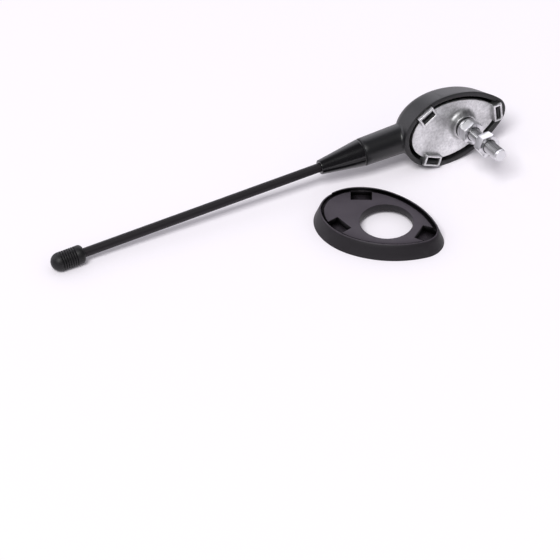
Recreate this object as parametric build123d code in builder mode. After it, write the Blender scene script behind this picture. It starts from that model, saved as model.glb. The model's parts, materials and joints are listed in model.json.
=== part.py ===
from build123d import *

import os
from math import asin, atan2, cos, degrees, hypot, radians, sin, sqrt, tan

# A car roof aerial that has been taken off its car. It lies on its side on the floor, resting
# on the edge of its cover and on the mast's end cap, with its sealing gasket beside it.
# Lengths are in millimetres and angles in degrees. The aerial's own sizes are given as if it
# stood on a roof: x runs from the stud towards the mast, y across, and z up from the cover's rim.

# Egg outline of the cover's rim
widest_x = 10.4
half_width = 23.5
mast_end_reach = 29.8
tip_reach = 41.5
tip_radius = 10.5

# Cover: a moulded shell with a drafted flank, a dome and a neck for the mast
cover_height = 24.5
flank_height = 12.0
flank_draft = 8.0
rim_width = 3.1
roof_wall = 2.2
dome_centre_x = 23.0
dome_steps = 6
dome_last_angle = 74.0
neck_reach = 23.5
neck_root_depth = 16.5
neck_root_radius = 9.5
neck_seam_radius = 8.6
neck_blend = 2.0
rib_y = 11.0
rib_width = 2.0
rib_start_x = -12.0
rib_end_x = 26.0
boss_radius = 6.5
hook_reach = 1.9
hook_depth = 1.8
hook_slope = 0.8

# Base plate: a die-cast egg with three frames that lock it to the cover
plate_inset = 5.5
plate_recess = 0.6
plate_thickness = 2.6
lug_round = 0.5
lug_height = 3.4
lug_wall = 1.4
lug_gap = 0.3
lug_edge = 1.65
side_lug_angle = 59.0
side_lug_length = 11.6
side_lug_depth = 7.0
tip_lug_edge = 3.8
tip_lug_length = 11.4
tip_lug_depth = 5.9
boss_height = 4.9
boss_root_radius = 9.0
boss_top_radius = 7.8
boss_root_round = 3.5
boss_edge_round = 0.6

# Stud with its insulation, washer and two nuts
stud_radius = 4.0
stud_reach = 44.3
stud_chamfer = 1.0
stud_head_radius = 7.5
stud_head_height = 2.6
bush_flange_radius = 8.5
bush_flange_height = 1.6
bush_wall = 1.4
insulating_washer_height = 1.5
steel_washer_height = 1.6
washer_radius = 6.9
stud_gap = 0.2
fit_gap = 0.05
nut_sides = 6
nut_across_flats = 13.0
nut_height = 6.5
nut_corner_cut = 0.45
nut_corner_slope = 30.0
nut_bore_cut = 0.5
lock_nut_turn = 12.0
clamp_nut_turn = 0.0
clamp_nut_gap = 11.1

# Contact strap from the stud's head to the mast socket
strap_thickness = 0.6
strap_width = 8.0
strap_bend = 1.5
strap_rise = 3.5

# Mast: its axis meets the end of the neck at the seam
seam_z = 11.8
mast_rise = 2.8
socket_radius = 4.5
socket_inside = 4.36
thread_radius = 2.5
thread_depth = 12.0
thread_gap = 0.1
pin_reach = 9.5
screw_radius = 1.5
screw_depth = 6.0
screw_room = 1.0
screw_head_radius = 2.8
screw_head_height = 1.8
seal_thickness = 0.8
seal_inset = 0.5
seal_gap = 0.2
collar_radius = 4.5
collar_height = 3.0
ferrule_radius = 3.9
ferrule_top = 24.0
foot_radius = 8.5
foot_tip_radius = 4.4
foot_length = 28.4
foot_edge_round = 0.5
core_radius = 1.8
core_seat = 10.0
winding_thickness = 0.3
sleeve_radius = 2.8
rod_end = 182.1

# End cap of the mast
cap_radius = 5.65
cap_shoulder = 4.6
cap_edge_round = 2.4
cap_groove_count = 7
cap_groove_pitch = 1.45
cap_groove_width = 0.95
cap_groove_depth = 0.55
cap_sleeve_depth = 6.0
cap_core_depth = 10.0

# Gasket: a rubber tray with a flared skirt, lying flat
gasket_height = 9.5
gasket_lip_height = 1.5
gasket_lip_width = 1.1
gasket_lip_gap = 0.3
gasket_lip_cut = 0.35
gasket_lip_lean = 0.6
rim_groove_width = 2.1
rim_groove_depth = 1.2
gasket_panel = 4.9
gasket_flare = 3.6
gasket_skirt_wall = 3.0
gasket_hole_radius = 15.75
pocket_gap = 0.6
pocket_reach = 2.6
pocket_floor = 0.6
neck_notch_depth = 1.1
neck_notch_width = 17.0

# Where the gasket's hole lies from the stud, and which way the gasket is turned
gasket_from_stud_x = -76.8
gasket_from_stud_y = -40.85
gasket_turn = 124.9

# Centre of the whole group on the floor, from the stud
group_centre_x = -117.13
group_centre_y = -23.19

# Heights along the stud, from the rim
plate_top = plate_recess + plate_thickness
lug_top = plate_recess - lug_height
boss_top = plate_recess - boss_height
bush_top = plate_top + bush_flange_height
strap_top = bush_top + strap_thickness
washer_seat = boss_top - insulating_washer_height
lock_nut_seat = washer_seat - steel_washer_height
clamp_nut_seat = lock_nut_seat - nut_height - clamp_nut_gap
bush_bore_radius = stud_radius + stud_gap
bush_radius = bush_bore_radius + bush_wall

# Lengths along the mast, from the seam
seam_x = widest_x + mast_end_reach + neck_reach
neck_length = neck_reach + neck_root_depth
socket_length = (neck_reach + rim_width + socket_inside) / cos(radians(mast_rise))
cap_grooves = cap_groove_count * cap_groove_pitch
cap_dome_start = rod_end + cap_shoulder + cap_grooves
cap_end = cap_dome_start + cap_radius

# Dome: an elliptical rise that carries on the flank's draft
draft_slope = tan(radians(flank_draft))
flank_top_half = half_width - flank_height * draft_slope
start_share = draft_slope * (cover_height - flank_height) / flank_top_half
dome_start = asin(start_share / (1 - start_share))
dome_rise = (cover_height - flank_height) / (1 - sin(dome_start))
dome_base = cover_height - dome_rise
dome_half = flank_top_half / cos(dome_start)


def resting_lean():
    """Returns the stud's height and the mast's dip, with rim and end cap both on the floor."""
    lean = 0.0
    draft = radians(flank_draft)
    rise = radians(mast_rise)
    cap_x = seam_x + cap_dome_start * cos(rise)
    cap_z = seam_z + cap_dome_start * sin(rise)
    for _ in range(20):
        rim_drop = hypot(mast_end_reach * sin(lean), half_width * cos(lean) * cos(draft))
        height = widest_x * sin(lean) + rim_drop
        z_up = -cos(lean) * sin(draft)
        lean = asin((height + cap_z * z_up - cap_radius) / cap_x)
    return height, lean


stud_height, lean = resting_lean()
draft = radians(flank_draft)
base = Plane(
    origin=(-group_centre_x, -group_centre_y, stud_height),
    x_dir=(-cos(lean), 0, -sin(lean)),
    z_dir=(sin(lean) * sin(draft), cos(draft), -cos(lean) * sin(draft)),
)
section = Plane(origin=base.origin, x_dir=base.x_dir, z_dir=-base.y_dir)
stud_axis = Axis(base.origin, base.z_dir)
seam = base.from_local_coords(Vector(seam_x, 0, seam_z))
mast_dir = base.x_dir * cos(radians(mast_rise)) + base.z_dir * sin(radians(mast_rise))
mast_axis = Axis(seam, mast_dir)
mast_end = Plane(origin=seam, x_dir=base.y_dir, z_dir=mast_dir)
mast_section = Plane(origin=seam, x_dir=base.y_dir, z_dir=base.y_dir.cross(mast_dir))
gasket_floor = Plane(
    origin=(gasket_from_stud_x - group_centre_x, gasket_from_stud_y - group_centre_y, 0),
    x_dir=(cos(radians(gasket_turn)), sin(radians(gasket_turn)), 0),
    z_dir=(0, 0, 1),
)

# Lug places: centre, turn, length and depth. A lug's outer side is to the right of its turn.
lug_spot = radians(side_lug_angle)
side_lug_turn = atan2(half_width * cos(lug_spot), -mast_end_reach * sin(lug_spot))
side_lug_inset = lug_edge + side_lug_depth / 2
side_lug_x = widest_x + mast_end_reach * cos(lug_spot) - side_lug_inset * sin(side_lug_turn)
side_lug_y = half_width * sin(lug_spot) + side_lug_inset * cos(side_lug_turn)
tip_lug_x = widest_x - tip_reach + tip_lug_edge + tip_lug_depth / 2
lugs = [
    (side_lug_x, side_lug_y, degrees(side_lug_turn), side_lug_length, side_lug_depth),
    (side_lug_x, -side_lug_y, 180 - degrees(side_lug_turn), side_lug_length, side_lug_depth),
    (tip_lug_x, 0, -90, tip_lug_length, tip_lug_depth),
]


def egg(margin=0.0, scale=1.0):
    """Returns the egg outline as a face, grown by margin and scaled about the dome's centre."""
    middle = widest_x + (dome_centre_x - widest_x) * (1 - scale)
    half = (half_width + margin) * scale
    end_radius = (tip_radius + margin) * scale
    to_end = (tip_reach + margin) * scale - end_radius
    side_radius = (to_end**2 + half**2 - end_radius**2) / (2 * (half - end_radius))
    swing = degrees(atan2(to_end, side_radius - half))
    with BuildSketch() as outline:
        with BuildLine():
            EllipticalCenterArc((middle, 0), (mast_end_reach + margin) * scale, half, -90, arc_size=180)
            CenterArc((middle, half - side_radius), side_radius, 90, swing)
            CenterArc((middle - to_end, 0), end_radius, 90 + swing, 180 - 2 * swing)
            CenterArc((middle, side_radius - half), side_radius, 270 - swing, swing)
        make_face()
    return outline.sketch


def egg_dome(margin=0.0, drop=0.0):
    """Returns the cover's form, grown by margin, with its top lowered by drop."""
    slices = []
    for step in range(dome_steps):
        share = step / (dome_steps - 1)
        angle = dome_start + share * (radians(dome_last_angle) - dome_start)
        height = dome_base + (dome_rise - share * drop) * sin(angle)
        slices.append(base.offset(height) * egg(margin, dome_half * cos(angle) / half_width))
    top = base.from_local_coords(Vector(dome_centre_x, 0, cover_height - drop))
    with BuildPart() as form:
        with BuildSketch(base):
            add(egg(margin))
        with BuildSketch(base.offset(flank_height)):
            add(egg(margin, flank_top_half / half_width))
        loft(ruled=True)
        loft(sections=slices + [Vertex(top)])
    return form.part


def lug_outlines(grow=0.0, outward=0.0):
    """Returns the three lug outlines, grown on all sides and then towards the rim."""
    with BuildSketch() as outlines:
        for x, y, turn, length, depth in lugs:
            with Locations(Location((x, y, 0), (0, 0, turn))):
                with Locations((0, -outward / 2)):
                    Rectangle(length + 2 * grow, depth + 2 * grow + outward)
    return outlines.sketch


def hook_plane(x, y, turn):
    """Returns the plane across a lug, with x towards the rim and y away from the cover."""
    angle = radians(turn)
    return Plane(
        origin=base.from_local_coords(Vector(x, y, 0)),
        x_dir=base.x_dir * sin(angle) - base.y_dir * cos(angle),
        z_dir=base.x_dir * cos(angle) + base.y_dir * sin(angle),
    )


os.makedirs("parts", exist_ok=True)

# Space inside the cover, less the ribs that back the plate and the boss round the mast socket
hollow_form = egg_dome(-rim_width, roof_wall)
rib_middle = (rib_start_x + rib_end_x) / 2
with BuildPart() as hollow:
    add(hollow_form)
    with BuildSketch(base.offset(plate_top)):
        with Locations((rib_middle, rib_y), (rib_middle, -rib_y)):
            Rectangle(rib_end_x - rib_start_x, rib_width)
    extrude(amount=cover_height, mode=Mode.SUBTRACT)
    with BuildSketch(mast_end.offset(-socket_length)):
        Circle(boss_radius)
    extrude(amount=socket_length, mode=Mode.SUBTRACT)

cover_form = egg_dome()
neck_outline = [
    (0, -neck_length),
    (neck_root_radius, -neck_length),
    (neck_seam_radius, 0),
    (0, 0),
]
with BuildPart() as cover:
    add(cover_form)
    with BuildSketch(mast_section):
        Polygon(*neck_outline, align=None)
    revolve(axis=mast_axis)
    fillet(cover.edges(Select.NEW), neck_blend)
    add(hollow.part, mode=Mode.SUBTRACT)
    with BuildSketch(mast_end):
        Circle(socket_radius + fit_gap)
    extrude(amount=-socket_length, mode=Mode.SUBTRACT)
    with BuildSketch(base):
        add(lug_outlines(lug_gap))
    extrude(amount=plate_top + lug_gap, mode=Mode.SUBTRACT)
    for x, y, turn, length, depth in lugs:
        hook_back = depth / 2 - lug_wall - lug_gap
        hook_front = hook_back - hook_depth
        with BuildSketch(hook_plane(x, y, turn)):
            Polygon(
                (hook_back, -flank_height),
                (hook_back, hook_reach),
                (hook_front + hook_slope, hook_reach),
                (hook_front, hook_reach - hook_slope),
                (hook_front, -flank_height),
                align=None,
            )
        extrude(amount=length / 2 - lug_wall - lug_gap, both=True)
cover.part.label = "cover"
export_step(cover.part, "parts/cover.step")

boss_outline = [
    (0, boss_top),
    (boss_top_radius, boss_top),
    (boss_root_radius, plate_recess),
    (boss_root_radius + boss_root_round, plate_recess),
    (boss_root_radius + boss_root_round, plate_top),
    (0, plate_top),
]
with BuildPart() as base_plate:
    with BuildSketch(base.offset(plate_recess)):
        add(egg(-plate_inset))
    extrude(amount=plate_thickness)
    with BuildSketch(base.offset(lug_top)):
        add(lug_outlines())
    extrude(amount=lug_height + plate_thickness)
    with BuildSketch(section) as boss_profile:
        Polygon(*boss_outline, align=None)
        boss_root = boss_profile.vertices().sort_by_distance((boss_root_radius, plate_recess))[0]
        fillet(boss_root, boss_root_round)
        boss_edge = boss_profile.vertices().sort_by_distance((boss_top_radius, boss_top))[0]
        fillet(boss_edge, boss_edge_round)
    revolve(axis=stud_axis)
    with BuildSketch(base.offset(plate_top)):
        add(lug_outlines(-lug_wall))
        Circle(bush_radius + fit_gap)
    extrude(amount=-(boss_height + plate_thickness), mode=Mode.SUBTRACT)
    lug_rims = base_plate.edges().filter_by_position(stud_axis, lug_top - fit_gap, lug_top + fit_gap)
    fillet(lug_rims, lug_round)
base_plate.part.label = "base_plate"
export_step(base_plate.part, "parts/base_plate.step")

stud_outline = [
    (0, strap_top + stud_head_height),
    (stud_head_radius, strap_top + stud_head_height),
    (stud_head_radius, strap_top),
    (stud_radius, strap_top),
    (stud_radius, stud_chamfer - stud_reach),
    (stud_radius - stud_chamfer, -stud_reach),
    (0, -stud_reach),
]
with BuildPart() as stud:
    with BuildSketch(section):
        Polygon(*stud_outline, align=None)
    revolve(axis=stud_axis)
stud.part.label = "stud"
export_step(stud.part, "parts/stud.step")

bush_outline = [
    (bush_bore_radius, boss_top),
    (bush_radius, boss_top),
    (bush_radius, plate_top),
    (bush_flange_radius, plate_top),
    (bush_flange_radius, bush_top),
    (bush_bore_radius, bush_top),
]
with BuildPart() as insulating_bush:
    with BuildSketch(section):
        Polygon(*bush_outline, align=None)
    revolve(axis=stud_axis)
insulating_bush.part.label = "insulating_bush"
export_step(insulating_bush.part, "parts/insulating_bush.step")

with BuildPart() as insulating_washer:
    with BuildSketch(base.offset(washer_seat)):
        Circle(washer_radius)
        Circle(bush_bore_radius, mode=Mode.SUBTRACT)
    extrude(amount=insulating_washer_height)
insulating_washer.part.label = "insulating_washer"
export_step(insulating_washer.part, "parts/insulating_washer.step")

with BuildPart() as steel_washer:
    with BuildSketch(base.offset(lock_nut_seat)):
        Circle(washer_radius)
        Circle(bush_bore_radius, mode=Mode.SUBTRACT)
    extrude(amount=steel_washer_height)
steel_washer.part.label = "steel_washer"
export_step(steel_washer.part, "parts/steel_washer.step")

# Both nuts are alike: a hexagon whose corners are cut back at both faces
nut_corner = nut_across_flats / sqrt(3)
nut_face_radius = nut_corner - nut_corner_cut / tan(radians(nut_corner_slope))
for nut_name, seat, turn in [
    ("lock_nut", lock_nut_seat, lock_nut_turn),
    ("clamp_nut", clamp_nut_seat, clamp_nut_turn),
]:
    nut_end = seat - nut_height
    nut_envelope = [
        (0, nut_end),
        (nut_face_radius, nut_end),
        (nut_corner, nut_end + nut_corner_cut),
        (nut_corner, seat - nut_corner_cut),
        (nut_face_radius, seat),
        (0, seat),
    ]
    with BuildPart() as nut:
        with BuildSketch(base.offset(nut_end)):
            RegularPolygon(nut_across_flats / 2, nut_sides, major_radius=False, rotation=turn)
            Circle(stud_radius + fit_gap, mode=Mode.SUBTRACT)
        extrude(amount=nut_height)
        with BuildSketch(section):
            Polygon(*nut_envelope, align=None)
        revolve(axis=stud_axis, mode=Mode.INTERSECT)
        bore_edges = nut.edges().filter_by(GeomType.CIRCLE).sort_by(SortBy.RADIUS)[:2]
        chamfer(bore_edges, nut_bore_cut)
    nut.part.label = nut_name
    export_step(nut.part, f"parts/{nut_name}.step")

# The strap lies under the stud's head and turns up against the inner end of the mast socket
strap_middle = bush_top + strap_thickness / 2
strap_face = -socket_length - strap_thickness / 2
rise = radians(mast_rise)
strap_foot = (strap_middle - seam_z - strap_face * sin(rise)) / cos(rise)
strap_x = seam_x + strap_face * cos(rise)
strap_z = seam_z + strap_face * sin(rise)
with BuildPart() as contact_strap:
    with BuildSketch(section):
        with BuildLine():
            FilletPolyline(
                (0, strap_middle),
                (strap_x - strap_foot * sin(rise), strap_middle),
                (strap_x - strap_rise * sin(rise), strap_z + strap_rise * cos(rise)),
                radius=strap_bend,
            )
        trace(line_width=strap_thickness)
    extrude(amount=strap_width / 2, both=True)
    with BuildSketch(base.offset(bush_top)):
        Circle(stud_head_radius)
    extrude(amount=strap_thickness)
    with BuildSketch(base.offset(bush_top)):
        Circle(bush_bore_radius)
    extrude(amount=strap_thickness, mode=Mode.SUBTRACT)
    with BuildSketch(mast_end.offset(-socket_length)):
        Circle(screw_radius + fit_gap)
    extrude(amount=-strap_thickness, mode=Mode.SUBTRACT)
contact_strap.part.label = "contact_strap"
export_step(contact_strap.part, "parts/contact_strap.step")

screw_seat = -socket_length - strap_thickness
screw_outline = [
    (0, screw_seat - screw_head_height),
    (screw_head_radius, screw_seat - screw_head_height),
    (screw_head_radius, screw_seat),
    (screw_radius, screw_seat),
    (screw_radius, screw_depth - socket_length),
    (0, screw_depth - socket_length),
]
with BuildPart() as strap_screw:
    with BuildSketch(mast_section):
        Polygon(*screw_outline, align=None)
    revolve(axis=mast_axis)
strap_screw.part.label = "strap_screw"
export_step(strap_screw.part, "parts/strap_screw.step")

with BuildPart() as mast_socket:
    with BuildSketch(mast_end):
        Circle(socket_radius)
    extrude(amount=-socket_length)
    with BuildSketch(mast_end):
        Circle(thread_radius)
    extrude(amount=-thread_depth, mode=Mode.SUBTRACT)
    with BuildSketch(mast_end.offset(-socket_length)):
        Circle(screw_radius + fit_gap)
    extrude(amount=screw_depth + screw_room, mode=Mode.SUBTRACT)
mast_socket.part.label = "mast_socket"
export_step(mast_socket.part, "parts/mast_socket.step")

with BuildPart() as mast_seal:
    with BuildSketch(mast_end):
        Circle(foot_radius - seal_inset)
        Circle(collar_radius + seal_gap, mode=Mode.SUBTRACT)
    extrude(amount=seal_thickness)
mast_seal.part.label = "mast_seal"
export_step(mast_seal.part, "parts/mast_seal.step")

pin_outline = [
    (0, -pin_reach),
    (thread_radius - thread_gap, -pin_reach),
    (thread_radius - thread_gap, fit_gap),
    (collar_radius, fit_gap),
    (collar_radius, collar_height),
    (ferrule_radius, collar_height),
    (ferrule_radius, ferrule_top),
    (core_radius + fit_gap, ferrule_top),
    (core_radius + fit_gap, core_seat),
    (0, core_seat),
]
with BuildPart() as mast_pin:
    with BuildSketch(mast_section):
        Polygon(*pin_outline, align=None)
    revolve(axis=mast_axis)
mast_pin.part.label = "mast_pin"
export_step(mast_pin.part, "parts/mast_pin.step")

with BuildPart() as mast_core:
    with BuildSketch(mast_end.offset(core_seat)):
        Circle(core_radius)
    extrude(amount=rod_end + cap_core_depth - core_seat)
mast_core.part.label = "mast_core"
export_step(mast_core.part, "parts/mast_core.step")

winding_inner = core_radius + fit_gap
winding_outer = winding_inner + winding_thickness
with BuildPart() as mast_winding:
    with BuildSketch(mast_end.offset(ferrule_top)):
        Circle(winding_outer)
        Circle(winding_inner, mode=Mode.SUBTRACT)
    extrude(amount=rod_end + cap_sleeve_depth - ferrule_top)
mast_winding.part.label = "mast_winding"
export_step(mast_winding.part, "parts/mast_winding.step")

sleeve_bore = winding_outer + fit_gap
with BuildPart() as mast_sleeve:
    with BuildSketch(mast_end.offset(ferrule_top)):
        Circle(sleeve_radius)
        Circle(sleeve_bore, mode=Mode.SUBTRACT)
    extrude(amount=rod_end + cap_sleeve_depth - ferrule_top)
mast_sleeve.part.label = "mast_sleeve"
export_step(mast_sleeve.part, "parts/mast_sleeve.step")

foot_outline = [
    (collar_radius + fit_gap, seal_thickness),
    (foot_radius, seal_thickness),
    (foot_tip_radius, foot_length),
    (sleeve_radius + fit_gap, foot_length),
    (sleeve_radius + fit_gap, ferrule_top),
    (ferrule_radius + fit_gap, ferrule_top),
    (ferrule_radius + fit_gap, collar_height),
    (collar_radius + fit_gap, collar_height),
]
with BuildPart() as mast_foot:
    with BuildSketch(mast_section):
        Polygon(*foot_outline, align=None)
    revolve(axis=mast_axis)
    foot_ends = mast_foot.edges().filter_by(GeomType.CIRCLE).group_by(mast_axis)
    foot_rims = [ends.sort_by(SortBy.RADIUS)[-1] for ends in (foot_ends[0], foot_ends[-1])]
    fillet(foot_rims, foot_edge_round)
mast_foot.part.label = "mast_foot"
export_step(mast_foot.part, "parts/mast_foot.step")

with BuildPart() as mast_cap:
    with BuildSketch(mast_section):
        with BuildLine():
            Polyline(
                (0, cap_end),
                (0, rod_end + cap_core_depth),
                (core_radius + fit_gap, rod_end + cap_core_depth),
                (core_radius + fit_gap, rod_end + cap_sleeve_depth),
                (sleeve_radius + fit_gap, rod_end + cap_sleeve_depth),
                (sleeve_radius + fit_gap, rod_end),
                (cap_radius - cap_edge_round, rod_end),
            )
            CenterArc(
                (cap_radius - cap_edge_round, rod_end + cap_edge_round), cap_edge_round, -90, 90
            )
            Line((cap_radius, rod_end + cap_edge_round), (cap_radius, cap_dome_start))
            CenterArc((0, cap_dome_start), cap_radius, 0, 90)
        make_face()
    revolve(axis=mast_axis)
    with BuildSketch(mast_section):
        for groove in range(cap_groove_count):
            middle = rod_end + cap_shoulder + cap_groove_pitch * groove + cap_groove_pitch / 2
            Polygon(
                (cap_radius, middle - cap_groove_width / 2),
                (cap_radius, middle + cap_groove_width / 2),
                (cap_radius - cap_groove_depth, middle),
                align=None,
            )
    revolve(axis=mast_axis, mode=Mode.SUBTRACT)
mast_cap.part.label = "mast_cap"
export_step(mast_cap.part, "parts/mast_cap.step")

lip_outside = gasket_lip_gap + gasket_lip_width
skirt_outside = lip_outside + gasket_flare
groove_outside = gasket_lip_gap + gasket_lip_lean
panel_top = gasket_height - gasket_lip_height
lip_cut_start = gasket_height - gasket_lip_cut
with BuildPart() as gasket:
    for height, margin in [
        (0, skirt_outside),
        (lip_cut_start, lip_outside),
        (gasket_height, lip_outside - gasket_lip_cut),
    ]:
        with BuildSketch(gasket_floor.offset(height)):
            add(egg(margin))
    loft(ruled=True)
    for height, margin in [
        (panel_top, groove_outside),
        (lip_cut_start, gasket_lip_gap),
        (gasket_height, gasket_lip_gap + gasket_lip_cut),
    ]:
        with BuildSketch(gasket_floor.offset(height)):
            add(egg(margin))
    loft(ruled=True, mode=Mode.SUBTRACT)
    with BuildSketch(gasket_floor.offset(panel_top)):
        add(egg(groove_outside))
        add(egg(groove_outside - rim_groove_width), mode=Mode.SUBTRACT)
    extrude(amount=-rim_groove_depth, mode=Mode.SUBTRACT)
    with BuildSketch(gasket_floor):
        add(egg(skirt_outside - gasket_skirt_wall))
    extrude(amount=panel_top - gasket_panel, mode=Mode.SUBTRACT)
    with BuildSketch(gasket_floor):
        Circle(gasket_hole_radius)
    extrude(amount=panel_top, mode=Mode.SUBTRACT)
    with BuildSketch(gasket_floor.offset(panel_top)):
        add(lug_outlines(pocket_gap, pocket_reach))
        add(egg(gasket_lip_gap), mode=Mode.INTERSECT)
    extrude(amount=pocket_floor - gasket_panel, mode=Mode.SUBTRACT)
    with BuildSketch(gasket_floor.offset(gasket_height - neck_notch_depth)):
        with Locations((widest_x + mast_end_reach, 0)):
            Rectangle(mast_end_reach, neck_notch_width)
    extrude(amount=neck_notch_depth, mode=Mode.SUBTRACT)
gasket.part.label = "gasket"
export_step(gasket.part, "parts/gasket.step")
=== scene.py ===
import json
from math import cos, pi, radians, sin

import bmesh
import bpy
from bpy.props import FloatProperty, FloatVectorProperty, IntProperty, PointerProperty
from mathutils import Matrix, Vector


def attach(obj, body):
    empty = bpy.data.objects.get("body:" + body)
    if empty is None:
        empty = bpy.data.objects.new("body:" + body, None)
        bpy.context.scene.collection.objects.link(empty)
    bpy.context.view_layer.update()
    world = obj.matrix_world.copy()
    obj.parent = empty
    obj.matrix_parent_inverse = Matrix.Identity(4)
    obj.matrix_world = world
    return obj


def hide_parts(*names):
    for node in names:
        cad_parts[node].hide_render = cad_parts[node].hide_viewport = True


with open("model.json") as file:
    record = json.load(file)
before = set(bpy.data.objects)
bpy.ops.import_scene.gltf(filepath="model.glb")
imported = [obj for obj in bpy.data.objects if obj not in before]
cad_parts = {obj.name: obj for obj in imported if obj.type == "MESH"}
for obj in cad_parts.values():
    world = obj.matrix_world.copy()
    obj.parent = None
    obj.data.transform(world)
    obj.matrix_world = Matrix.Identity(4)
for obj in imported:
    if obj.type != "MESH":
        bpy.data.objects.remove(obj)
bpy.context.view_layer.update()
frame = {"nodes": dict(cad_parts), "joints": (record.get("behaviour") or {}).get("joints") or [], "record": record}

bl_info = {
    "name": "Car mast aerial",
    "version": (1, 0, 0),
    "blender": (4, 5, 0),
    "location": "View3D > Sidebar > Aerial",
    "description": "Dresses a car roof aerial and its gasket with their real forms and surfaces",
    "category": "Object",
}

MM = 0.001
PHOTO_PIXELS = 560
SENSOR_MM = 36.0

# Corners closer than this are one corner, and faces within this angle are one flat face
WELD_DISTANCE = 0.002 * MM
FLAT_ANGLE = radians(0.1)

# Faces round each turned form and the floor
STUD_SIDES = 56
PIN_SIDES = 48
CAP_SIDES = 64
FLOOR_SIDES = 64

# Rows of faces in the cap's shoulder, in its dome and in half a groove
SHOULDER_STEPS = 8
DOME_STEPS = 12
GROOVE_STEPS = 6

JOINTS = {joint["name"]: joint for joint in frame["joints"]}
MOUNTS = {mount["name"]: mount for mount in frame["record"]["mounts"]}
SEAM = Vector(JOINTS["mast_turn"]["pos_m"])
MAST_DIRECTION = Vector(JOINTS["mast_turn"]["axis"])
STUD_POINT = Vector(MOUNTS["roof_stud"]["pos_m"])
STUD_DIRECTION = Vector(MOUNTS["roof_stud"]["axis"])

# The middle of a patch of painted shade beside the plate's boss: how far it lies from
# the stud's axis, and how far back from the stud's end
PAINTED_SHADE_ASIDE = Vector((-8.6, 0.8, 5.5)) * MM
PAINTED_SHADE_BACK = 43.8 * MM
PAINTED_SHADE_MIDDLE = STUD_POINT + PAINTED_SHADE_ASIDE - PAINTED_SHADE_BACK * STUD_DIRECTION

# Where the neck's grain begins to be polished off, and where the polish is full, from the seam
POLISH_START = -34.0 * MM
POLISH_FULL = -22.0 * MM

# Corners of one turn of a metric thread: its share of the pitch, and its share of the depth
THREAD_TURN = ((0.0, 0.0), (0.125, 0.0), (0.4375, 1.0), (0.6875, 1.0), (1.0, 0.0))
# Depth of a metric thread as a share of its pitch, and how much of it the stud's point is cut down
THREAD_DEPTH = 0.6134
POINT_DROP = 0.45

# Cosines of the angles from a white board's middle at which it ends and at which it is full
BOARD_END = 0.76
BOARD_FULL = 0.98


def linear(hex_colour):
    """Returns the linear RGB of an sRGB colour written as six hex digits."""
    shares = [int(hex_colour[i : i + 2], 16) / 255 for i in (0, 2, 4)]
    return tuple(s / 12.92 if s <= 0.04045 else ((s + 0.055) / 1.055) ** 2.4 for s in shares)


def per_metre(size_mm):
    """Returns the texture scale, in repeats per metre, of a pattern of that real size."""
    return 1000 / size_mm


def colour_property(name, description, hex_colour):
    """Returns a colour property with that sRGB default."""
    return FloatVectorProperty(
        name=name, description=description, subtype="COLOR", size=3, min=0, max=1,
        default=linear(hex_colour),
    )


def length_property(name, description, size_mm):
    """Returns a length property with that default in millimetres."""
    return FloatProperty(
        name=name, description=description, unit="LENGTH", subtype="DISTANCE", min=0,
        precision=5, default=size_mm * MM,
    )


def angle_property(name, description, degrees):
    """Returns an angle property with that default in degrees."""
    return FloatProperty(
        name=name, description=description, subtype="ANGLE", default=radians(degrees)
    )


class AerialSizes(bpy.types.PropertyGroup):
    """Sizes of the forms that this file adds to the solids."""

    stud_pitch: length_property("Stud pitch", "Pitch of the stud's M8 thread", 1.25)
    stud_thread: length_property("Stud thread length", "From the stud's free end", 36.0)
    stud_point: length_property("Stud point", "Plain point left at the stud's free end", 1.7)
    stud_point_cut: length_property("Point cut", "Edge cut on the stud's point", 0.2)
    pin_pitch: length_property("Pin pitch", "Pitch of the mast pin's M5 thread", 0.8)
    pin_point: length_property("Pin point", "Plain point left at the pin's end", 1.0)
    thread_fade: length_property("Thread run-out", "Length in which a thread rises", 0.6)
    cast_edge: length_property("Cast edge", "Round on the base plate's edges", 0.22)
    moulded_edge: length_property("Moulded edge", "Round on the cover's edges", 0.3)
    rubber_edge: length_property("Rubber edge", "Round on the gasket's edges", 0.3)
    nut_edge: length_property("Nut edge", "Round on the edges of nuts and washer", 0.14)
    nut_turn: angle_property("Nut turn", "Where the inner nut comes to rest on its thread", 36.0)
    cap_shoulder: length_property("Cap shoulder", "Plain length before the cap's ribs", 4.6)
    cap_shoulder_round: length_property("Cap round", "Round at the cap's open end", 2.4)
    cap_groove_width: length_property("Cap groove width", "Width of a groove in the cap", 0.75)
    cap_groove_depth: length_property("Cap groove depth", "Depth of a groove in the cap", 0.55)
    cap_grooves: IntProperty(name="Cap grooves", description="Number of grooves", default=7)
    fit: length_property("Fit", "Gap between a rod and its bore", 0.05)


class AerialColours(bpy.types.PropertyGroup):
    """Colours of the finishes."""

    cover: colour_property("Cover", "Grained black moulding", "111113")
    foot: colour_property("Mast foot", "Smooth black moulding", "0e0d0f")
    sleeve: colour_property("Mast sleeve", "Extruded black rubber", "181418")
    cap: colour_property("Cap", "Moulded black rubber", "141315")
    gasket: colour_property("Gasket", "Moulded dark grey rubber", "272328")
    seal: colour_property("Seal", "Moulded black rubber ring", "161618")
    cast_alloy: colour_property("Die-cast alloy", "As-cast zinc alloy", "ebebec")
    zinc: colour_property("Zinc plate", "Bright zinc on steel", "e2e2e4")
    nylon: colour_property("Polyamide", "Black insulating moulding", "161618")
    brass: colour_property("Brass", "Turned brass", "d4b06a")
    copper: colour_property("Copper wire", "Enamelled copper", "b06a4a")
    glass_fibre: colour_property("Glass fibre", "Drawn glass-fibre rod", "cfc9a8")
    floor: colour_property("Floor", "Pale studio floor", "f4f0f5")
    room: colour_property("Room", "Tint of the room's light and of the boards", "f9f7ff")


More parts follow.
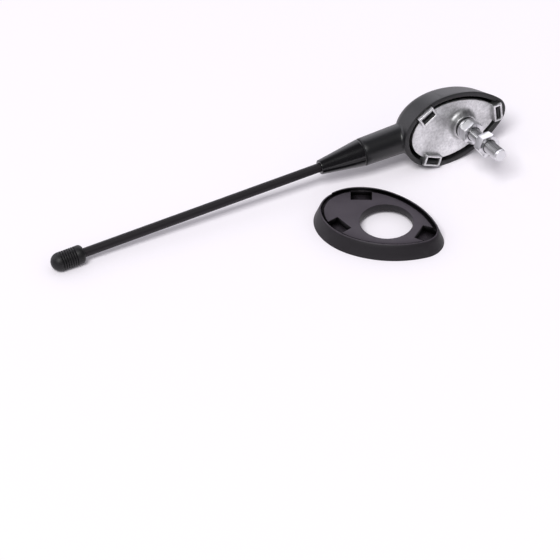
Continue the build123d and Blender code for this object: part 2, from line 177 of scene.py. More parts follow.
class AerialStage(bpy.types.PropertyGroup):
    """Camera and light."""

    azimuth: angle_property("Azimuth", "Camera's turn about the vertical", -28.8)
    elevation: angle_property("Elevation", "Camera's height angle", 40.85)
    distance: length_property("Distance", "Camera to the point that it looks at", 1503.3)
    focal_pixels: FloatProperty(
        name="Focal length", description="In pixels of the photograph", default=2600
    )
    target: FloatVectorProperty(
        name="Target", description="Floor point at the picture's middle", subtype="XYZ",
        unit="LENGTH", default=(-0.03563, -0.02568, 0.0),
    )
    floor_radius: length_property("Floor radius", "Half the floor's width", 4000.0)
    key_place: FloatVectorProperty(
        name="Key place", description="Where the long soft light hangs", subtype="XYZ",
        unit="LENGTH", default=(-4.4, -3.8, 8.14),
    )
    key_length: length_property("Key length", "Length of the soft light", 4600.0)
    key_width: length_property("Key width", "Width of the soft light", 3100.0)
    key_power: FloatProperty(
        name="Key light", description="Power of the soft light", unit="POWER", default=760.0
    )
    room_light: FloatProperty(
        name="Room light", description="Strength of the even light of the room", default=0.4
    )
    board_light: FloatProperty(
        name="Boards", description="Brightness of the two white boards in gloss", default=2.0
    )
    board_right: FloatVectorProperty(
        name="Board on the right", description="Direction of the white board behind on the right",
        subtype="DIRECTION", default=(0.55, 0.73, 0.4),
    )
    board_left: FloatVectorProperty(
        name="Board on the left", description="Direction of the white board behind on the left",
        subtype="DIRECTION", default=(-0.51, 0.67, 0.545),
    )
    room_gloss: FloatProperty(
        name="Room in gloss", description="Brightness of the room in front in gloss", default=0.1
    )
    floor_glow: FloatProperty(
        name="Floor glow", description="White added to the floor where it is seen", default=0.15
    )
    glow_reach: length_property("Glow reach", "How near a piece has to be to stop the glow", 20.0)


def add_node(tree, kind, inputs=None, **settings):
    """Adds a node, sets its options, and gives each named input a value or another output."""
    made = tree.nodes.new(kind)
    for option, value in settings.items():
        setattr(made, option, value)
    for socket, value in (inputs or {}).items():
        if isinstance(value, bpy.types.NodeSocket):
            tree.links.new(value, made.inputs[socket])
        else:
            made.inputs[socket].default_value = value
    return made


def new_material(name):
    """Returns a material, its node tree, its shader and object coordinates in metres."""
    material = bpy.data.materials.new(name)
    material.use_nodes = True
    tree = material.node_tree
    tree.nodes.clear()
    shader = add_node(tree, "ShaderNodeBsdfPrincipled")
    add_node(tree, "ShaderNodeOutputMaterial", {"Surface": shader.outputs["BSDF"]})
    place = add_node(tree, "ShaderNodeTexCoord").outputs["Object"]
    return material, tree, shader, place


def grained_abs(colour):
    """ABS moulded in a spark-eroded tool: an even fine grain, polished off along the neck."""
    material, tree, shader, place = new_material("ABS, grained moulding")
    # The real grain is about 0.2 mm, too fine to show here, so it is drawn at 0.8 mm
    grain = add_node(
        tree, "ShaderNodeTexNoise", {"Vector": place, "Scale": per_metre(0.8), "Detail": 2.0}
    )
    tone = add_node(
        tree, "ShaderNodeTexNoise", {"Vector": place, "Scale": per_metre(9.0), "Detail": 3.0}
    )
    shade = add_node(
        tree, "ShaderNodeMapRange", {"Value": tone.outputs["Fac"], "To Min": 0.85, "To Max": 1.15}
    )
    paint = add_node(
        tree, "ShaderNodeVectorMath", {0: colour, "Scale": shade.outputs["Result"]},
        operation="SCALE",
    )
    grain_gloss = add_node(
        tree, "ShaderNodeMapRange", {"Value": grain.outputs["Fac"], "To Min": 0.36, "To Max": 0.5}
    )
    along = add_node(
        tree, "ShaderNodeVectorMath", {0: place, 1: MAST_DIRECTION}, operation="DOT_PRODUCT"
    )
    seam = SEAM.dot(MAST_DIRECTION)
    polish = add_node(
        tree, "ShaderNodeMapRange",
        {"Value": along.outputs["Value"],
         "From Min": seam + POLISH_START, "From Max": seam + POLISH_FULL,
         "To Min": 1.0, "To Max": 0.88},
    )
    gloss = add_node(
        tree, "ShaderNodeMath", {0: grain_gloss.outputs["Result"], 1: polish.outputs["Result"]},
        operation="MULTIPLY",
    )
    bump = add_node(
        tree, "ShaderNodeBump",
        {"Height": grain.outputs["Fac"], "Strength": 0.25, "Distance": 0.06 * MM},
    )
    tree.links.new(paint.outputs["Vector"], shader.inputs["Base Color"])
    tree.links.new(gloss.outputs["Value"], shader.inputs["Roughness"])
    tree.links.new(bump.outputs["Normal"], shader.inputs["Normal"])
    shader.inputs["IOR"].default_value = 1.53
    return material


def smooth_abs(colour):
    """ABS moulded in a smooth tool: a satin black with faint flow marks."""
    material, tree, shader, place = new_material("ABS, smooth moulding")
    flow = add_node(
        tree, "ShaderNodeTexNoise", {"Vector": place, "Scale": per_metre(6.0), "Detail": 4.0}
    )
    gloss = add_node(
        tree, "ShaderNodeMapRange", {"Value": flow.outputs["Fac"], "To Min": 0.16, "To Max": 0.24}
    )
    shade = add_node(
        tree, "ShaderNodeMapRange", {"Value": flow.outputs["Fac"], "To Min": 0.85, "To Max": 1.15}
    )
    paint = add_node(
        tree, "ShaderNodeVectorMath", {0: colour, "Scale": shade.outputs["Result"]},
        operation="SCALE",
    )
    tree.links.new(paint.outputs["Vector"], shader.inputs["Base Color"])
    tree.links.new(gloss.outputs["Result"], shader.inputs["Roughness"])
    shader.inputs["IOR"].default_value = 1.53
    return material


def rubber(name, colour, tooth_mm, roughness, draw=(1, 1, 1)):
    """Filled rubber: matte, with a fine tooth that may be drawn out along the extrusion."""
    material, tree, shader, place = new_material(name)
    # The real tooth is about 0.1 mm, too fine to show here, so callers give a coarser one
    drawn = add_node(tree, "ShaderNodeMapping", {"Vector": place, "Scale": draw})
    tooth = add_node(
        tree, "ShaderNodeTexNoise",
        {"Vector": drawn.outputs["Vector"], "Scale": per_metre(tooth_mm), "Detail": 3.0},
    )
    dust_and_painted_light = add_node(
        tree, "ShaderNodeTexNoise", {"Vector": place, "Scale": per_metre(12.0), "Detail": 5.0}
    )
    shade = add_node(
        tree, "ShaderNodeMapRange", {"Value": dust_and_painted_light.outputs["Fac"], "To Min": 0.85, "To Max": 1.15}
    )
    paint = add_node(
        tree, "ShaderNodeVectorMath", {0: colour, "Scale": shade.outputs["Result"]},
        operation="SCALE",
    )
    gloss = add_node(
        tree, "ShaderNodeMapRange",
        {"Value": tooth.outputs["Fac"], "To Min": 0.85 * roughness, "To Max": 1.15 * roughness},
    )
    bump = add_node(
        tree, "ShaderNodeBump",
        {"Height": tooth.outputs["Fac"], "Strength": 0.25, "Distance": 0.05 * MM},
    )
    tree.links.new(paint.outputs["Vector"], shader.inputs["Base Color"])
    tree.links.new(gloss.outputs["Result"], shader.inputs["Roughness"])
    tree.links.new(bump.outputs["Normal"], shader.inputs["Normal"])
    shader.inputs["IOR"].default_value = 1.52
    shader.inputs["Specular IOR Level"].default_value = 0.32
    return material


def moulded_epdm(colour):
    """EPDM rubber from a matt mould: dark grey, with painted light on faces that look up and painted shade in its
    corners.
    """
    material, tree, shader, place = new_material("EPDM rubber, moulded")
    # The real tooth is about 0.1 mm, too fine to show here, so it is drawn at 0.7 mm
    tooth = add_node(
        tree, "ShaderNodeTexNoise", {"Vector": place, "Scale": per_metre(0.7), "Detail": 3.0}
    )
    cloud = add_node(
        tree, "ShaderNodeTexNoise", {"Vector": place, "Scale": per_metre(12.0), "Detail": 5.0}
    )
    uneven = add_node(
        tree, "ShaderNodeMapRange", {"Value": cloud.outputs["Fac"], "To Min": 0.85, "To Max": 1.15}
    )
    # Painted light from above: lighter on faces that look up, darker on the skirt and on walls
    facing = add_node(
        tree, "ShaderNodeSeparateXYZ",
        {"Vector": add_node(tree, "ShaderNodeNewGeometry").outputs["Normal"]},
    )
    dust_and_painted_light = add_node(
        tree, "ShaderNodeMapRange",
        {"Value": facing.outputs["Z"], "From Min": 0.5, "From Max": 0.95,
         "To Min": 0.55, "To Max": 2.6},
    )
    # Painted shade: corners, pockets and the lip's inner wall are darkened nearly to black, in the colour and in
    # the specular tint
    hollow = add_node(
        tree, "ShaderNodeAmbientOcclusion", {"Distance": 8.0 * MM}, samples=8, only_local=True
    )
    corner = add_node(
        tree, "ShaderNodeMapRange",
        {"Value": hollow.outputs["AO"], "From Min": 0.6, "From Max": 0.92,
         "To Min": 0.03, "To Max": 1.0},
    )
    painted_light_and_shade = add_node(
        tree, "ShaderNodeMath", {0: dust_and_painted_light.outputs["Result"], 1: corner.outputs["Result"]},
        operation="MULTIPLY",
    )
    tone = add_node(
        tree, "ShaderNodeMath", {0: painted_light_and_shade.outputs["Value"], 1: uneven.outputs["Result"]},
        operation="MULTIPLY",
    )
    paint = add_node(
        tree, "ShaderNodeVectorMath", {0: colour, "Scale": tone.outputs["Value"]},
        operation="SCALE",
    )
    tooth_gloss = add_node(
        tree, "ShaderNodeMapRange", {"Value": tooth.outputs["Fac"], "To Min": 0.42, "To Max": 0.58}
    )
    matt = add_node(
        tree, "ShaderNodeMapRange",
        {"Value": hollow.outputs["AO"], "From Min": 0.6, "From Max": 0.92,
         "To Min": 1.0, "To Max": 0.4},
    )
    gloss = add_node(
        tree, "ShaderNodeMath", {0: tooth_gloss.outputs["Result"], 1: matt.outputs["Result"]},
        operation="MAXIMUM",
    )
    bump = add_node(
        tree, "ShaderNodeBump",
        {"Height": tooth.outputs["Fac"], "Strength": 0.25, "Distance": 0.05 * MM},
    )
    tree.links.new(paint.outputs["Vector"], shader.inputs["Base Color"])
    tree.links.new(corner.outputs["Result"], shader.inputs["Specular Tint"])
    tree.links.new(gloss.outputs["Value"], shader.inputs["Roughness"])
    tree.links.new(bump.outputs["Normal"], shader.inputs["Normal"])
    shader.inputs["IOR"].default_value = 1.52
    shader.inputs["Specular IOR Level"].default_value = 0.32
    return material


def cast_zinc(colour):
    """Zinc alloy as it leaves the die: pale silver with a frosty, mottled, cloudy skin.

    It has painted shade on its sides, in its corners and in a patch beside the boss.
    """
    material, tree, shader, place = new_material("Zinc alloy, die-cast")
    mottle = add_node(
        tree, "ShaderNodeTexNoise",
        {"Vector": place, "Scale": per_metre(1.5), "Detail": 4.0, "Roughness": 0.65},
    )
    cloud = add_node(
        tree, "ShaderNodeTexNoise", {"Vector": place, "Scale": per_metre(13.0), "Detail": 2.0}
    )
    both = add_node(
        tree, "ShaderNodeMath", {0: mottle.outputs["Fac"], 1: cloud.outputs["Fac"]},
        operation="ADD",
    )
    shade = add_node(
        tree, "ShaderNodeMapRange",
        {"Value": both.outputs["Value"], "From Min": 0.7, "From Max": 1.3,
         "To Min": 0.56, "To Max": 1.2},
    )
    # Painted shade: a darker patch beside the boss, fading out over 11 mm
    spread = add_node(
        tree, "ShaderNodeVectorMath", {0: place, 1: PAINTED_SHADE_MIDDLE}, operation="DISTANCE"
    )
    painted_boss_shade = add_node(
        tree, "ShaderNodeMapRange",
        {"Value": spread.outputs["Value"], "From Min": 1.0 * MM, "From Max": 11.0 * MM,
         "To Min": 0.6, "To Max": 1.0},
        interpolation_type="SMOOTHSTEP",
    )
    # Painted shade in the corners, at the feet of the lugs and of the boss
    hollow = add_node(
        tree, "ShaderNodeAmbientOcclusion", {"Distance": 2.5 * MM}, samples=8, only_local=True
    )
    corner = add_node(
        tree, "ShaderNodeMapRange",
        {"Value": hollow.outputs["AO"], "From Min": 0.4, "From Max": 0.85,
         "To Min": 0.35, "To Max": 1.0},
    )
    # Painted shade on faces that turn away from the stud's direction: the sides of the lugs and of the boss
    facing = add_node(
        tree, "ShaderNodeVectorMath",
        {0: add_node(tree, "ShaderNodeNewGeometry").outputs["Normal"], 1: STUD_DIRECTION},
        operation="DOT_PRODUCT",
    )
    side = add_node(
        tree, "ShaderNodeMapRange",
        {"Value": facing.outputs["Value"], "From Min": 0.3, "From Max": 0.9,
         "To Min": 0.65, "To Max": 1.0},
    )
    # The painted shade of the sides and of the corners together
    drawn = add_node(
        tree, "ShaderNodeMath", {0: side.outputs["Result"], 1: corner.outputs["Result"]},
        operation="MULTIPLY",
    )
    # All the painted shade: the patch beside the boss, the sides and the corners
    painted_shade = add_node(
        tree, "ShaderNodeMath", {0: painted_boss_shade.outputs["Result"], 1: drawn.outputs["Value"]},
        operation="MULTIPLY",
    )
    tone = add_node(
        tree, "ShaderNodeMath", {0: shade.outputs["Result"], 1: painted_shade.outputs["Value"]},
        operation="MULTIPLY",
    )
    paint = add_node(
        tree, "ShaderNodeVectorMath", {0: colour, "Scale": tone.outputs["Value"]},
        operation="SCALE",
    )
    gloss = add_node(
        tree, "ShaderNodeMapRange",
        {"Value": mottle.outputs["Fac"], "From Min": 0.3, "From Max": 0.7,
         "To Min": 0.36, "To Max": 0.56},
    )
    bump = add_node(
        tree, "ShaderNodeBump",
        {"Height": mottle.outputs["Fac"], "Strength": 0.8, "Distance": 0.16 * MM},
    )
    tree.links.new(paint.outputs["Vector"], shader.inputs["Base Color"])
    tree.links.new(gloss.outputs["Result"], shader.inputs["Roughness"])
    tree.links.new(bump.outputs["Normal"], shader.inputs["Normal"])
    shader.inputs["Metallic"].default_value = 1.0
    return material


def worked_metal(name, colour, roughness, film_mm):
    """A plated, turned or drawn metal: a bright skin, filmed by handling, with painted shade in corners."""
    material, tree, shader, place = new_material(name)
    film = add_node(
        tree, "ShaderNodeTexNoise", {"Vector": place, "Scale": per_metre(film_mm), "Detail": 3.0}
    )
    gloss = add_node(
        tree, "ShaderNodeMapRange",
        {"Value": film.outputs["Fac"], "To Min": 0.7 * roughness, "To Max": 1.3 * roughness},
    )
    shade = add_node(
        tree, "ShaderNodeMapRange", {"Value": film.outputs["Fac"], "To Min": 0.9, "To Max": 1.06}
    )
    # Painted shade: thread roots, the edges between facets and other corners are darkened
    hollow = add_node(tree, "ShaderNodeAmbientOcclusion", {"Distance": 1.5 * MM}, samples=8)
    painted_crevice_shade = add_node(
        tree, "ShaderNodeMapRange",
        {"Value": hollow.outputs["AO"], "From Min": 0.3, "From Max": 0.9,
         "To Min": 0.18, "To Max": 1.0},
    )
    tone = add_node(
        tree, "ShaderNodeMath", {0: shade.outputs["Result"], 1: painted_crevice_shade.outputs["Result"]},
        operation="MULTIPLY",
    )
    paint = add_node(
        tree, "ShaderNodeVectorMath", {0: colour, "Scale": tone.outputs["Value"]},
        operation="SCALE",
    )
    tree.links.new(paint.outputs["Vector"], shader.inputs["Base Color"])
    tree.links.new(gloss.outputs["Result"], shader.inputs["Roughness"])
    shader.inputs["Metallic"].default_value = 1.0
    return material


def plain_plastic(name, colour, roughness):
    """A moulded or drawn plastic with a slightly uneven gloss."""
    material, tree, shader, place = new_material(name)
    film = add_node(
        tree, "ShaderNodeTexNoise", {"Vector": place, "Scale": per_metre(3.0), "Detail": 2.0}
    )
    gloss = add_node(
        tree, "ShaderNodeMapRange",
        {"Value": film.outputs["Fac"], "To Min": 0.8 * roughness, "To Max": 1.2 * roughness},
    )
    tree.links.new(gloss.outputs["Result"], shader.inputs["Roughness"])
    shader.inputs["Base Color"].default_value = (*colour, 1)
    return material


def dress(node, material):
    """Gives a CAD node that keeps its shape a better material."""
    slots = frame["nodes"][node].material_slots
    if not slots:
        raise RuntimeError(f"{node} has no material slot")
    for slot in slots:
        slot.material = material


def body_of(node):
    """Returns the name of the body that carries a CAD node."""
    for body, members in frame["record"]["behaviour"]["bodies"].items():
        if node in members:
            return body
    raise RuntimeError(f"{node} is on no body")


def stand_in(form, name, node, material, sharp_degrees=35.0):
    """Puts a form in the place of a CAD node, shaded smooth up to that edge angle."""
    bmesh.ops.recalc_face_normals(form, faces=form.faces)
    mesh = bpy.data.meshes.new(name)
    form.to_mesh(mesh)
    form.free()
    mesh.materials.append(material)
    mesh.shade_smooth()
    mesh.set_sharp_from_angle(angle=radians(sharp_degrees))
    piece = bpy.data.objects.new(name, mesh)
    bpy.context.scene.collection.objects.link(piece)
    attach(piece, body_of(node))
    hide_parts(node)
    return piece


def polar(node, point, direction):
    """Returns each vertex of a node as its place along an axis and its distance from it."""
    offsets = [v.co - point for v in frame["nodes"][node].data.vertices]
    return [(o.dot(direction), o.cross(direction).length) for o in offsets]


def reach(places):
    """Returns the lowest and the highest place along the axis."""
    along = [place for place, _ in places]
    return min(along), max(along)


def widest(places):
    """Returns the largest distance from the axis."""
    return max(radius for _, radius in places)


def eased(node, width, least_degrees=30.0, segments=2):
    """Returns a node's form with its sharp edges rounded, as a die or a mould leaves them."""
    form = bmesh.new()
    form.from_mesh(frame["nodes"][node].data)
    bmesh.ops.remove_doubles(form, verts=form.verts, dist=WELD_DISTANCE)
    bmesh.ops.dissolve_limit(
        form, angle_limit=FLAT_ANGLE, verts=form.verts, edges=form.edges
    )
    # A face with many corners can fold over a hole when its edges are rounded
    bmesh.ops.triangulate(form, faces=[f for f in form.faces if len(f.verts) > 4])
    least = radians(least_degrees)
    sharp = [e for e in form.edges if e.is_manifold and e.calc_face_angle() > least]
    bmesh.ops.bevel(
        form, geom=sharp, offset=width, offset_type="OFFSET", segments=segments, profile=0.5,
        affect="EDGES", clamp_overlap=False,
    )
    return form


def thread_drop(turns):
    """Returns how deep a thread is cut at that many turns, from 0 at its crest to 1."""
    share = turns % 1.0
    for (low, low_drop), (high, high_drop) in zip(THREAD_TURN, THREAD_TURN[1:]):
        if share <= high:
            return low_drop + (high_drop - low_drop) * (share - low) / (high - low)
    return 0.0


def turned(point, direction, rows, around, pitch=0.0, depth=0.0):
    """Returns a closed form turned about an axis.

    Each row is its place along the axis, its radius and the share of the thread's depth there.
    """
    form = bmesh.new()
    side = direction.orthogonal().normalized()
    other = direction.cross(side)
    rings = []
    for along, radius, share in rows:
        centre = point + direction * along
        ring = []
        for step in range(around if radius > 0 else 1):
            turn = step / around
            cut = share * depth * thread_drop(along / pitch - turn) if share else 0.0
            out = side * cos(2 * pi * turn) + other * sin(2 * pi * turn)
            ring.append(form.verts.new(centre + out * (radius - cut)))
        rings.append(ring)
    for low, high in zip(rings, rings[1:]):
        for step in range(around):
            after = (step + 1) % around
            corners = (
                low[step % len(low)], low[after % len(low)],
                high[after % len(high)], high[step % len(high)],
            )
            form.faces.new(list(dict.fromkeys(corners)))
    return form


def thread_rows(start, end, radius, pitch, fade, rows_per_turn=10):
    """Returns the rows of a thread between two places, rising and running out over a fade."""
    count = round((end - start) / pitch * rows_per_turn)
    rows = []
    for i in range(count + 1):
        along = start + (end - start) * i / count
        share = min(1.0, (along - start) / fade, (end - along) / fade)
        rows.append((along, radius, share))
    return rows


class AERIAL_OT_cover(bpy.types.Operator):
    """Rounds the cover's edges and gives it its grained moulding"""

    bl_idname = "aerial.cover"
    bl_label = "Cover"

    def execute(self, context):
        scene = context.scene
        skin = grained_abs(scene.aerial_colours.cover)
        stand_in(eased("cover", scene.aerial_sizes.moulded_edge), "cover_shell", "cover", skin)
        return {"FINISHED"}


class AERIAL_OT_base_plate(bpy.types.Operator):
    """Rounds the base plate's edges and gives it its cast skin"""

    bl_idname = "aerial.base_plate"
    bl_label = "Base plate"

    def execute(self, context):
        scene = context.scene
        skin = cast_zinc(scene.aerial_colours.cast_alloy)
        stand_in(eased("base_plate", scene.aerial_sizes.cast_edge), "plate", "base_plate", skin)
        return {"FINISHED"}


class AERIAL_OT_stud(bpy.types.Operator):
    """Cuts the fixing stud's thread and dresses its nuts and washer"""

    bl_idname = "aerial.stud"
    bl_label = "Fixing stud"

    def execute(self, context):
        sizes = context.scene.aerial_sizes
        zinc = context.scene.aerial_colours.zinc
        plating = worked_metal("Steel, zinc plated", zinc, roughness=0.36, film_mm=2.5)

        places = polar("stud", STUD_POINT, STUD_DIRECTION)
        head_radius = widest(places)
        head_low, head_high = reach([p for p in places if p[1] > head_radius - sizes.fit])
        radius = widest([p for p in places if p[0] > head_high + sizes.fit])
        depth = THREAD_DEPTH * sizes.stud_pitch
        point_radius = radius - POINT_DROP * depth
        rows = [
            (head_low, 0, 0),
            (head_low, head_radius, 0),
            (head_high, head_radius, 0),
            (head_high, radius, 0),
        ]
        rows += thread_rows(
            -sizes.stud_thread, -sizes.stud_point, radius, sizes.stud_pitch, sizes.thread_fade
        )
        rows += [
            (-sizes.stud_point + sizes.stud_point_cut, point_radius, 0),
            (-sizes.stud_point_cut, point_radius, 0),
            (0, point_radius - sizes.stud_point_cut, 0),
            (0, 0, 0),
        ]
        form = turned(STUD_POINT, STUD_DIRECTION, rows, STUD_SIDES, sizes.stud_pitch, depth)
        stand_in(form, "threaded_stud", "stud", plating)

        for node in ("lock_nut", "clamp_nut", "steel_washer"):
            form = eased(node, sizes.nut_edge)
            if node == "lock_nut":
                turn = Matrix.Rotation(sizes.nut_turn, 3, STUD_DIRECTION)
                bmesh.ops.rotate(form, cent=STUD_POINT, matrix=turn, verts=form.verts)
            stand_in(form, f"{node}_eased", node, plating)
        return {"FINISHED"}


class AERIAL_OT_insulation(bpy.types.Operator):
    """Dresses the insulating bush and washer"""

    bl_idname = "aerial.insulation"
    bl_label = "Insulation"

    def execute(self, context):
        black = context.scene.aerial_colours.nylon
        nylon = plain_plastic("Polyamide, black moulding", black, roughness=0.45)
        dress("insulating_bush", nylon)
        dress("insulating_washer", nylon)
        return {"FINISHED"}


class AERIAL_OT_mast(bpy.types.Operator):
    """Dresses the mast's foot, sleeve and seal"""

    bl_idname = "aerial.mast"
    bl_label = "Mast"

    def execute(self, context):
        colours = context.scene.aerial_colours
        # The die draws the rubber's tooth out along the mast, which lies close to X
        extruded = rubber(
            "Rubber, extruded", colours.sleeve, tooth_mm=0.7, roughness=0.55, draw=(0.1, 1, 1)
        )
        moulded = rubber("Rubber, moulded ring", colours.seal, tooth_mm=0.6, roughness=0.6)
        dress("mast_foot", smooth_abs(colours.foot))
        dress("mast_sleeve", extruded)
        dress("mast_seal", moulded)
        return {"FINISHED"}


class AERIAL_OT_cap(bpy.types.Operator):
    """Makes the cap with its round ribs"""

    bl_idname = "aerial.cap"
    bl_label = "Mast cap"

    def execute(self, context):
        sizes = context.scene.aerial_sizes
        cap = polar("mast_cap", SEAM, MAST_DIRECTION)
        sleeve = polar("mast_sleeve", SEAM, MAST_DIRECTION)
        core = polar("mast_core", SEAM, MAST_DIRECTION)
        low, high = reach(cap)
        radius = widest(cap)
        sleeve_bore = widest(sleeve) + sizes.fit
        core_bore = widest(core) + sizes.fit
        rows = [
            (reach(core)[1], 0, 0),
            (reach(core)[1], core_bore, 0),
            (reach(sleeve)[1], core_bore, 0),
            (reach(sleeve)[1], sleeve_bore, 0),
            (low, sleeve_bore, 0),
        ]

        corner = sizes.cap_shoulder_round
        for step in range(SHOULDER_STEPS + 1):
            angle = radians(90 * step / SHOULDER_STEPS)
            rows.append((low + corner * (1 - cos(angle)), radius - corner * (1 - sin(angle)), 0))

        start = low + sizes.cap_shoulder
        dome_start = high - radius
        pitch = (dome_start - start) / sizes.cap_grooves
        half = sizes.cap_groove_width / 2
        for groove in range(sizes.cap_grooves):
            middle = start + pitch * (groove + 0.5)
            for step in range(-GROOVE_STEPS, GROOVE_STEPS + 1):
                share = step / GROOVE_STEPS
                drop = sizes.cap_groove_depth * (1 + cos(pi * share)) / 2
                rows.append((middle + half * share, radius - drop, 0))

        for step in range(DOME_STEPS + 1):
            angle = radians(90 * step / DOME_STEPS)
            wide = radius * cos(angle) if step < DOME_STEPS else 0
            rows.append((dome_start + radius * sin(angle), wide, 0))
        form = turned(SEAM, MAST_DIRECTION, rows, CAP_SIDES)
        black = context.scene.aerial_colours.cap
        skin = rubber("Rubber, moulded", black, tooth_mm=0.6, roughness=0.5)
        stand_in(form, "ribbed_cap", "mast_cap", skin)
        return {"FINISHED"}


class AERIAL_OT_inner_parts(bpy.types.Operator):
    """Cuts the mast pin's thread and dresses the other parts inside"""

    bl_idname = "aerial.inner_parts"
    bl_label = "Inner parts"

    def execute(self, context):
        colours = context.scene.aerial_colours
        sizes = context.scene.aerial_sizes
        brass = worked_metal("Brass, turned", colours.brass, roughness=0.25, film_mm=2.0)
        plating = worked_metal(
            "Steel screw, zinc plated", colours.zinc, roughness=0.25, film_mm=1.5
        )
        copper = worked_metal(
            "Copper wire, enamelled", colours.copper, roughness=0.3, film_mm=1.0
        )
        glass = plain_plastic("Glass fibre, drawn", colours.glass_fibre, roughness=0.5)
        dress("mast_socket", brass)
        dress("contact_strap", brass)
        dress("strap_screw", plating)
        dress("mast_winding", copper)
        dress("mast_core", glass)

        pin = polar("mast_pin", SEAM, MAST_DIRECTION)
        core = polar("mast_core", SEAM, MAST_DIRECTION)
        low, high = reach(pin)
        collar = widest(pin)
        collar_low, collar_high = reach([p for p in pin if p[1] > collar - sizes.fit])
        ferrule = widest([p for p in pin if p[0] > high - sizes.fit])
        thread = widest([p for p in pin if p[0] < low + sizes.fit])
        core_bore = widest(core) + sizes.fit
        depth = THREAD_DEPTH * sizes.pin_pitch
        point = thread - depth
        rows = [(low, 0, 0), (low, point - sizes.fit, 0), (low + sizes.pin_point, point, 0)]
        rows += thread_rows(
            low + sizes.pin_point, collar_low, thread, sizes.pin_pitch, sizes.thread_fade
        )
        rows += [
            (collar_low, collar, 0),
            (collar_high, collar, 0),
            (collar_high, ferrule, 0),
            (high, ferrule, 0),
            (high, core_bore, 0),
            (reach(core)[0], core_bore, 0),
            (reach(core)[0], 0, 0),
        ]
        form = turned(SEAM, MAST_DIRECTION, rows, PIN_SIDES, sizes.pin_pitch, depth)
        stand_in(form, "threaded_pin", "mast_pin", brass)
        return {"FINISHED"}


class AERIAL_OT_gasket(bpy.types.Operator):
    """Rounds the gasket's edges and dresses it"""

    bl_idname = "aerial.gasket"
    bl_label = "Gasket"

    def execute(self, context):
        scene = context.scene
        skin = moulded_epdm(scene.aerial_colours.gasket)
        pad = stand_in(
            eased("gasket", scene.aerial_sizes.rubber_edge), "gasket_pad", "gasket", skin
        )
        # The foot's gloss shows only the bright floor below it
        pad.visible_glossy = False
        return {"FINISHED"}


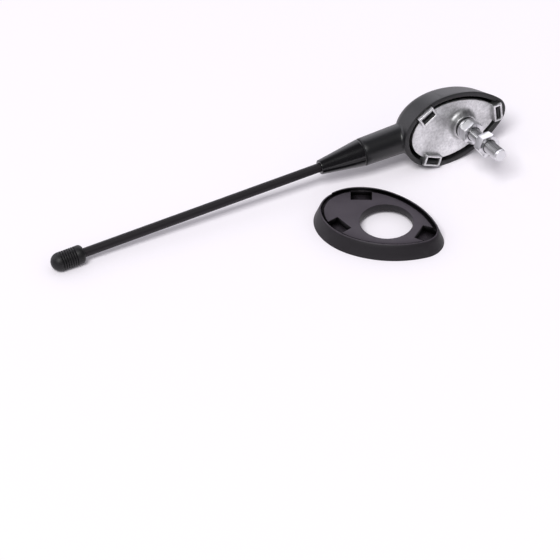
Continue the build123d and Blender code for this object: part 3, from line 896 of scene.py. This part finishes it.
class AERIAL_OT_stage(bpy.types.Operator):
    """Makes the floor, the lights and the camera"""

    bl_idname = "aerial.stage"
    bl_label = "Stage"

    def execute(self, context):
        scene = context.scene
        stage = scene.aerial_stage
        scene.view_settings.view_transform = "Standard"
        self.lay_floor(scene, stage)
        self.hang_light(scene, stage)
        self.light_room(scene, stage)
        self.set_camera(scene, stage)
        return {"FINISHED"}

    def lay_floor(self, scene, stage):
        """Lays a matte white floor, which looks a little whiter where it is seen, with a painted contact shadow
        close under the pieces.
        """
        paper, tree, shader, _ = new_material("Paper, matte white")
        shader.inputs["Base Color"].default_value = (*scene.aerial_colours.floor, 1)
        shader.inputs["Roughness"].default_value = 1.0
        shader.inputs["Specular IOR Level"].default_value = 0.0
        shader.inputs["Emission Color"].default_value = (*scene.aerial_colours.floor, 1)
        path = add_node(tree, "ShaderNodeLightPath")
        bent = add_node(
            tree, "ShaderNodeMath",
            {0: path.outputs["Is Glossy Ray"], 1: path.outputs["Is Transmission Ray"]},
            operation="MAXIMUM",
        )
        seen = add_node(
            tree, "ShaderNodeMath",
            {0: path.outputs["Is Camera Ray"], 1: bent.outputs["Value"]}, operation="MAXIMUM",
        )
        # Close under the pieces the added white is taken away, which paints a darker contact shadow there
        painted_shadow_ao = add_node(
            tree, "ShaderNodeAmbientOcclusion", {"Distance": stage.glow_reach}, samples=4
        )
        white = add_node(
            tree, "ShaderNodeMath", {0: painted_shadow_ao.outputs["AO"], 1: stage.floor_glow},
            operation="MULTIPLY",
        )
        glow = add_node(
            tree, "ShaderNodeMath", {0: seen.outputs["Value"], 1: white.outputs["Value"]},
            operation="MULTIPLY",
        )
        tree.links.new(glow.outputs["Value"], shader.inputs["Emission Strength"])
        form = bmesh.new()
        bmesh.ops.create_circle(
            form, cap_ends=True, radius=stage.floor_radius, segments=FLOOR_SIDES
        )
        mesh = bpy.data.meshes.new("floor")
        form.to_mesh(mesh)
        form.free()
        mesh.materials.append(paper)
        floor = bpy.data.objects.new("floor", mesh)
        scene.collection.objects.link(floor)

    def hang_light(self, scene, stage):
        """Hangs one long soft light above, in front and to the left, with its length along X."""
        soft = bpy.data.lights.new("key", "AREA")
        soft.shape = "RECTANGLE"
        soft.size = stage.key_length
        soft.size_y = stage.key_width
        soft.energy = stage.key_power
        key = bpy.data.objects.new("key", soft)
        scene.collection.objects.link(key)
        key.location = stage.key_place
        back = key.location.normalized()
        across = back.cross(Vector((1, 0, 0))).normalized()
        turn = Matrix((across.cross(back), across, back)).transposed()
        key.rotation_euler = turn.to_euler()

    def light_room(self, scene, stage):
        """Gives an even room light, white to the camera, and two white boards to gloss."""
        world = bpy.data.worlds.new("studio")
        world.use_nodes = True
        tree = world.node_tree
        tree.nodes.clear()
        way = add_node(tree, "ShaderNodeTexCoord").outputs["Generated"]
        right, left = (
            add_node(
                tree, "ShaderNodeVectorMath", {0: way, 1: Vector(board).normalized()},
                operation="DOT_PRODUCT",
            )
            for board in (stage.board_right, stage.board_left)
        )
        nearer = add_node(
            tree, "ShaderNodeMath", {0: right.outputs["Value"], 1: left.outputs["Value"]},
            operation="MAXIMUM",
        )
        boards = add_node(
            tree, "ShaderNodeMapRange",
            {"Value": nearer.outputs["Value"], "From Min": BOARD_END, "From Max": BOARD_FULL,
             "To Min": stage.room_gloss, "To Max": stage.board_light},
            interpolation_type="SMOOTHSTEP",
        )
        path = add_node(tree, "ShaderNodeLightPath")
        gloss = add_node(
            tree, "ShaderNodeMath",
            {0: path.outputs["Is Glossy Ray"], 1: path.outputs["Is Transmission Ray"]},
            operation="MAXIMUM",
        )
        seen_in_gloss = add_node(
            tree, "ShaderNodeMix",
            {"Factor": gloss.outputs["Value"], "A": stage.room_light,
             "B": boards.outputs["Result"]},
        )
        strength = add_node(
            tree, "ShaderNodeMix",
            {"Factor": path.outputs["Is Camera Ray"], "A": seen_in_gloss.outputs["Result"],
             "B": 1.0},
        )
        light = add_node(
            tree, "ShaderNodeBackground",
            {"Color": (*scene.aerial_colours.room, 1), "Strength": strength.outputs["Result"]},
        )
        add_node(tree, "ShaderNodeOutputWorld", {"Surface": light.outputs["Background"]})
        scene.world = world

    def set_camera(self, scene, stage):
        """Sets the camera at the photograph's angle."""
        lens = bpy.data.cameras.new("camera")
        lens.sensor_width = SENSOR_MM
        lens.lens = stage.focal_pixels * SENSOR_MM / PHOTO_PIXELS
        camera = bpy.data.objects.new("camera", lens)
        scene.collection.objects.link(camera)
        back = Vector((
            sin(stage.azimuth) * cos(stage.elevation),
            -cos(stage.azimuth) * cos(stage.elevation),
            sin(stage.elevation),
        ))
        camera.location = Vector(stage.target) + back * stage.distance
        camera.rotation_euler = (-back).to_track_quat("-Z", "Y").to_euler()
        scene.camera = camera


class AERIAL_PT_panel(bpy.types.Panel):
    """Lists the aerial's sizes, colours and steps"""

    bl_label = "Car mast aerial"
    bl_idname = "AERIAL_PT_panel"
    bl_space_type = "VIEW_3D"
    bl_region_type = "UI"
    bl_category = "Aerial"

    def draw(self, context):
        scene = context.scene
        for group in (scene.aerial_sizes, scene.aerial_colours, scene.aerial_stage):
            box = self.layout.box()
            for name in group.bl_rna.properties.keys():
                if name not in ("rna_type", "name"):
                    box.prop(group, name)
        for step in STEPS:
            self.layout.operator(step.bl_idname)


STEPS = (
    AERIAL_OT_cover,
    AERIAL_OT_base_plate,
    AERIAL_OT_stud,
    AERIAL_OT_insulation,
    AERIAL_OT_mast,
    AERIAL_OT_cap,
    AERIAL_OT_inner_parts,
    AERIAL_OT_gasket,
    AERIAL_OT_stage,
)
CLASSES = (AerialSizes, AerialColours, AerialStage, *STEPS, AERIAL_PT_panel)


def register():
    """Adds the classes and the scene's properties."""
    for cls in CLASSES:
        bpy.utils.register_class(cls)
    bpy.types.Scene.aerial_sizes = PointerProperty(type=AerialSizes)
    bpy.types.Scene.aerial_colours = PointerProperty(type=AerialColours)
    bpy.types.Scene.aerial_stage = PointerProperty(type=AerialStage)


def unregister():
    """Takes the classes and the scene's properties away again."""
    del bpy.types.Scene.aerial_stage
    del bpy.types.Scene.aerial_colours
    del bpy.types.Scene.aerial_sizes
    for cls in reversed(CLASSES):
        bpy.utils.unregister_class(cls)


def main():
    """Runs each step in order."""
    register()
    bpy.ops.aerial.cover()
    bpy.ops.aerial.base_plate()
    bpy.ops.aerial.stud()
    bpy.ops.aerial.insulation()
    bpy.ops.aerial.mast()
    bpy.ops.aerial.cap()
    bpy.ops.aerial.inner_parts()
    bpy.ops.aerial.gasket()
    bpy.ops.aerial.stage()


if __name__ == "__main__":
    main()
